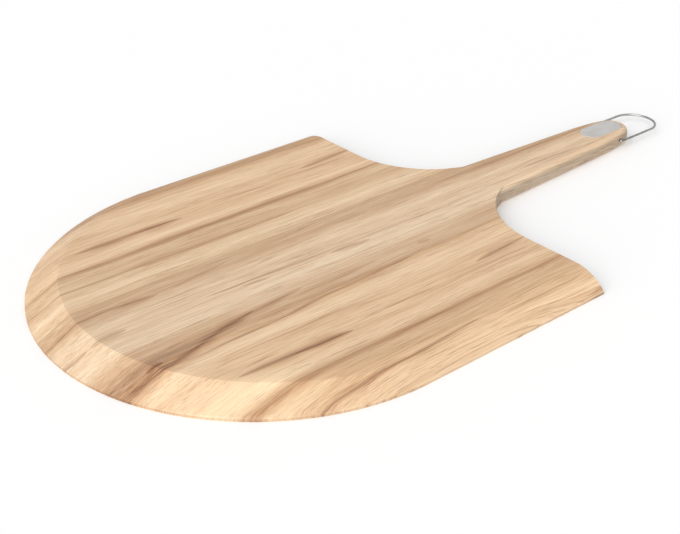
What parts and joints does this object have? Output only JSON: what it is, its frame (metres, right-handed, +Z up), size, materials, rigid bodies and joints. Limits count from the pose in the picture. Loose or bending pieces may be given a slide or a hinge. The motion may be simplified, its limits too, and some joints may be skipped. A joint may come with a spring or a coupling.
{
  "type": "pizza peel",
  "caption": "Wooden pizza peel with a round-fronted, bevelled square blade, a tapered grip and a wire hanging loop that pivots at the end of the grip.",
  "frame": {"origin": "middle of the blade's width and of its round front's centre, on the flat underside", "axes": "+X along the grip towards the hanging loop, +Y across the blade, +Z up out of the top face"},
  "size_m": [0.5455, 0.305, 0.0128],
  "materials": {
    "wood_edge": "fine sanded and lightly oiled, satin",
    "wood_wide": "fine sanded and lightly oiled, satin",
    "wood_handle": "fine sanded and lightly oiled, satin",
    "wood_light": "fine sanded and lightly oiled, satin",
    "plate_metal": "fine brushed, satin",
    "wire_metal": "bright drawn wire"
  },
  "bodies": {
    "board": {"near_edge_stave": "wood_edge", "near_wide_stave": "wood_wide", "handle_stave": "wood_handle", "far_light_stave": "wood_light", "far_wide_stave": "wood_wide", "far_edge_stave": "wood_edge", "badge_plate": "plate_metal"},
    "loop": {"hanging_loop": "wire_metal"}
  },
  "joints": [
    {"name": "loop_hinge", "type": "hinge", "parent": "board", "child": "loop", "pos_m": [0.3385, 0, 0.0064], "axis": [0, -1, 0], "range_deg": [-135, 135]}
  ]
}
